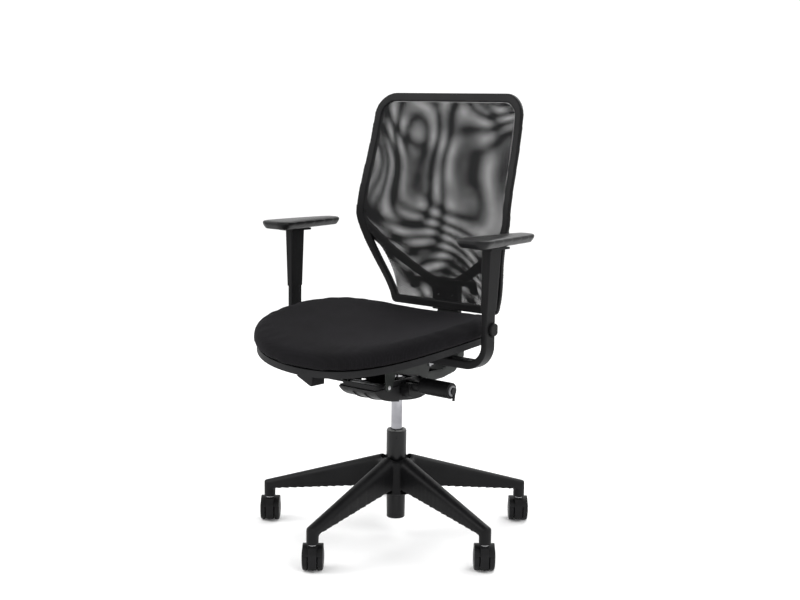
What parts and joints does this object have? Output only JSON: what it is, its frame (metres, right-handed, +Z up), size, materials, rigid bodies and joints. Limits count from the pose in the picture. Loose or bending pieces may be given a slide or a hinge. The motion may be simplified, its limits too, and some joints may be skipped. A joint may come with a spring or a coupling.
{
  "type": "swivel office chair",
  "caption": "Mesh-back swivel office chair with padded seat, height-adjustable arms, tilt mechanism, gas column and star base on twin-wheel casters.",
  "frame": {"origin": "on the floor, on the column's swivel axis", "axes": "+Z up, the chair faces -Y, +X is the sitter's left"},
  "size_m": [0.7142, 0.7047, 1.095],
  "materials": {
    "base_nylon": "fine moulded texture",
    "column_paint": "satin powder coat",
    "bush_plastic": "moulded",
    "bright_steel": "zinc plated",
    "caster_nylon": "moulded",
    "wheel_tread": "smooth",
    "gas_chrome": "polished",
    "spring_steel": "oiled",
    "mechanism_casting": "satin paint",
    "mechanism_plastic": "moulded",
    "grey_plastic": "moulded",
    "carrier_steel": "satin paint",
    "shell_plastic": "moulded",
    "seat_fabric": "plain weave",
    "screw_zinc": "zinc plated",
    "arm_plastic": "fine moulded texture",
    "pad_foam": "soft integral skin",
    "frame_plastic": "moulded",
    "back_mesh": "open knit"
  },
  "bodies": {
    "base": {"star_base": "base_nylon", "column_tube": "column_paint", "column_bush": "bush_plastic", "thrust_bearing": "bright_steel", "retaining_clip": "bright_steel", "piston_rod": "bright_steel", "caster_stems": "bright_steel"},
    "gas_cylinder": {"gas_cylinder": "gas_chrome"},
    "valve_pin": {"valve_pin": "bright_steel"},
    "mechanism": {"mechanism_housing": "mechanism_casting", "mechanism_cover": "mechanism_plastic", "tilt_pivot_pin": "bright_steel", "front_pivot_pin": "bright_steel", "tilt_spring": "spring_steel", "spring_seat": "mechanism_casting"},
    "height_lever": {"height_lever": "mechanism_plastic"},
    "seat_lock_lever": {"seat_lock_lever": "mechanism_plastic"},
    "tension_handle": {"tension_handle": "mechanism_plastic", "tension_handle_ring": "grey_plastic"},
    "tilt_lock_lever": {"tilt_lock_lever": "mechanism_plastic"},
    "seat": {"seat_carrier": "carrier_steel", "seat_shell": "shell_plastic", "seat_cushion": "seat_fabric", "seat_screws": "screw_zinc", "left_arm_bracket": "arm_plastic", "right_arm_bracket": "arm_plastic", "arm_bolts": "screw_zinc"},
    "left_arm": {"left_arm_sleeve": "arm_plastic", "left_arm_pad": "pad_foam"},
    "right_arm": {"right_arm_sleeve": "arm_plastic", "right_arm_pad": "pad_foam"},
    "left_arm_button": {"left_arm_button": "mechanism_plastic"},
    "right_arm_button": {"right_arm_button": "mechanism_plastic"},
    "back": {"back_support": "carrier_steel", "back_carrier": "frame_plastic", "back_frame": "frame_plastic", "back_mesh": "back_mesh", "back_screws": "screw_zinc"},
    "lumbar": {"lumbar_bar": "frame_plastic"},
    "caster_1": {"caster_hood_1": "caster_nylon", "caster_axle_1": "bright_steel"},
    "caster_1_left_wheel": {"caster_wheel_1_left": "wheel_tread"},
    "caster_1_right_wheel": {"caster_wheel_1_right": "wheel_tread"},
    "caster_2": {"caster_hood_2": "caster_nylon", "caster_axle_2": "bright_steel"},
    "caster_2_left_wheel": {"caster_wheel_2_left": "wheel_tread"},
    "caster_2_right_wheel": {"caster_wheel_2_right": "wheel_tread"},
    "caster_3": {"caster_hood_3": "caster_nylon", "caster_axle_3": "bright_steel"},
    "caster_3_left_wheel": {"caster_wheel_3_left": "wheel_tread"},
    "caster_3_right_wheel": {"caster_wheel_3_right": "wheel_tread"},
    "caster_4": {"caster_hood_4": "caster_nylon", "caster_axle_4": "bright_steel"},
    "caster_4_left_wheel": {"caster_wheel_4_left": "wheel_tread"},
    "caster_4_right_wheel": {"caster_wheel_4_right": "wheel_tread"},
    "caster_5": {"caster_hood_5": "caster_nylon", "caster_axle_5": "bright_steel"},
    "caster_5_left_wheel": {"caster_wheel_5_left": "wheel_tread"},
    "caster_5_right_wheel": {"caster_wheel_5_right": "wheel_tread"}
  },
  "joints": [
    {"name": "height", "type": "slide", "parent": "base", "child": "gas_cylinder", "axis": [0, 0, 1], "range_m": [-0.072, 0.04]},
    {"name": "seat_swivel", "type": "hinge", "parent": "gas_cylinder", "child": "mechanism", "pos_m": [0, 0, 0.4], "axis": [0, 0, 1], "continuous": true},
    {"name": "height_lever", "type": "hinge", "parent": "mechanism", "child": "height_lever", "pos_m": [-0.05, -0.064, 0.404], "axis": [0, 1, 0], "range_deg": [0, 5], "stiffness_Nm_per_rad": 4, "springref_deg": -4.58},
    {"name": "valve_pin", "type": "slide", "parent": "gas_cylinder", "child": "valve_pin", "axis": [0, 0, 1], "range_m": [-0.0045, 0]},
    {"name": "seat_lock_lever", "type": "hinge", "parent": "mechanism", "child": "seat_lock_lever", "pos_m": [-0.05, -0.14, 0.4075], "axis": [0, 1, 0], "range_deg": [0, 6], "stiffness_Nm_per_rad": 3, "springref_deg": -4.58},
    {"name": "tension_handle", "type": "hinge", "parent": "mechanism", "child": "tension_handle", "pos_m": [0.15, -0.03, 0.4], "axis": [1, 0, 0], "range_deg": [-540, 540]},
    {"name": "tilt_lock_lever", "type": "hinge", "parent": "tension_handle", "child": "tilt_lock_lever", "pos_m": [0.199, -0.03, 0.4], "axis": [1, 0, 0], "range_deg": [-35, 0]},
    {"name": "back_recline", "type": "hinge", "parent": "mechanism", "child": "back", "pos_m": [0, 0.03, 0.404], "axis": [1, 0, 0], "range_deg": [-20, 0], "stiffness_Nm_per_rad": 60, "springref_deg": 22.92},
    {"name": "seat_tilt", "type": "hinge", "parent": "mechanism", "child": "seat", "pos_m": [0, -0.112, 0.402], "axis": [1, 0, 0], "range_deg": [-7, 0]},
    {"name": "left_arm_height", "type": "slide", "parent": "seat", "child": "left_arm", "axis": [0, 0, 1], "range_m": [-0.02, 0.06]},
    {"name": "left_arm_button", "type": "slide", "parent": "seat", "child": "left_arm_button", "axis": [-1, 0, 0], "range_m": [0, 0.003], "stiffness_N_per_m": 800, "springref_m": -0.002},
    {"name": "right_arm_height", "type": "slide", "parent": "seat", "child": "right_arm", "axis": [0, 0, 1], "range_m": [-0.02, 0.06]},
    {"name": "right_arm_button", "type": "slide", "parent": "seat", "child": "right_arm_button", "axis": [1, 0, 0], "range_m": [0, 0.003], "stiffness_N_per_m": 800, "springref_m": -0.002},
    {"name": "lumbar_height", "type": "slide", "parent": "back", "child": "lumbar", "axis": [0, -0.135, 0.9908], "range_m": [-0.012, 0.012]},
    {"name": "caster_1_swivel", "type": "hinge", "parent": "base", "child": "caster_1", "pos_m": [0.16977, 0.29169, 0.045], "axis": [0, 0, 1], "continuous": true},
    {"name": "caster_1_left_roll", "type": "hinge", "parent": "caster_1", "child": "caster_1_left_wheel", "pos_m": [0.15884, 0.30472, 0.0295], "axis": [0.766, 0.6428, 0], "continuous": true},
    {"name": "caster_1_right_roll", "type": "hinge", "parent": "caster_1", "child": "caster_1_right_wheel", "pos_m": [0.15884, 0.30472, 0.0295], "axis": [0.766, 0.6428, 0], "continuous": true},
    {"name": "caster_2_swivel", "type": "hinge", "parent": "base", "child": "caster_2", "pos_m": [-0.22495, 0.2516, 0.045], "axis": [0, 0, 1], "continuous": true},
    {"name": "caster_2_left_roll", "type": "hinge", "parent": "caster_2", "child": "caster_2_left_wheel", "pos_m": [-0.23588, 0.26462, 0.0295], "axis": [0.766, 0.6428, 0], "continuous": true},
    {"name": "caster_2_right_roll", "type": "hinge", "parent": "caster_2", "child": "caster_2_right_wheel", "pos_m": [-0.23588, 0.26462, 0.0295], "axis": [0.766, 0.6428, 0], "continuous": true},
    {"name": "caster_3_swivel", "type": "hinge", "parent": "base", "child": "caster_3", "pos_m": [-0.3088, -0.1362, 0.045], "axis": [0, 0, 1], "continuous": true},
    {"name": "caster_3_left_roll", "type": "hinge", "parent": "caster_3", "child": "caster_3_left_wheel", "pos_m": [-0.31973, -0.12317, 0.0295], "axis": [0.766, 0.6428, 0], "continuous": true},
    {"name": "caster_3_right_roll", "type": "hinge", "parent": "caster_3", "child": "caster_3_right_wheel", "pos_m": [-0.31973, -0.12317, 0.0295], "axis": [0.766, 0.6428, 0], "continuous": true},
    {"name": "caster_4_swivel", "type": "hinge", "parent": "base", "child": "caster_4", "pos_m": [0.03411, -0.33577, 0.045], "axis": [0, 0, 1], "continuous": true},
    {"name": "caster_4_left_roll", "type": "hinge", "parent": "caster_4", "child": "caster_4_left_wheel", "pos_m": [0.02318, -0.32275, 0.0295], "axis": [0.766, 0.6428, 0], "continuous": true},
    {"name": "caster_4_right_roll", "type": "hinge", "parent": "caster_4", "child": "caster_4_right_wheel", "pos_m": [0.02318, -0.32275, 0.0295], "axis": [0.766, 0.6428, 0], "continuous": true},
    {"name": "caster_5_swivel", "type": "hinge", "parent": "base", "child": "caster_5", "pos_m": [0.32988, -0.07132, 0.045], "axis": [0, 0, 1], "continuous": true},
    {"name": "caster_5_left_roll", "type": "hinge", "parent": "caster_5", "child": "caster_5_left_wheel", "pos_m": [0.31895, -0.0583, 0.0295], "axis": [0.766, 0.6428, 0], "continuous": true},
    {"name": "caster_5_right_roll", "type": "hinge", "parent": "caster_5", "child": "caster_5_right_wheel", "pos_m": [0.31895, -0.0583, 0.0295], "axis": [0.766, 0.6428, 0], "continuous": true}
  ],
  "couplings": [
    {"joint": "valve_pin", "follows": "height_lever", "m_per_rad": -0.05},
    {"joint": "seat_tilt", "follows": "back_recline", "ratio": 0.35}
  ]
}
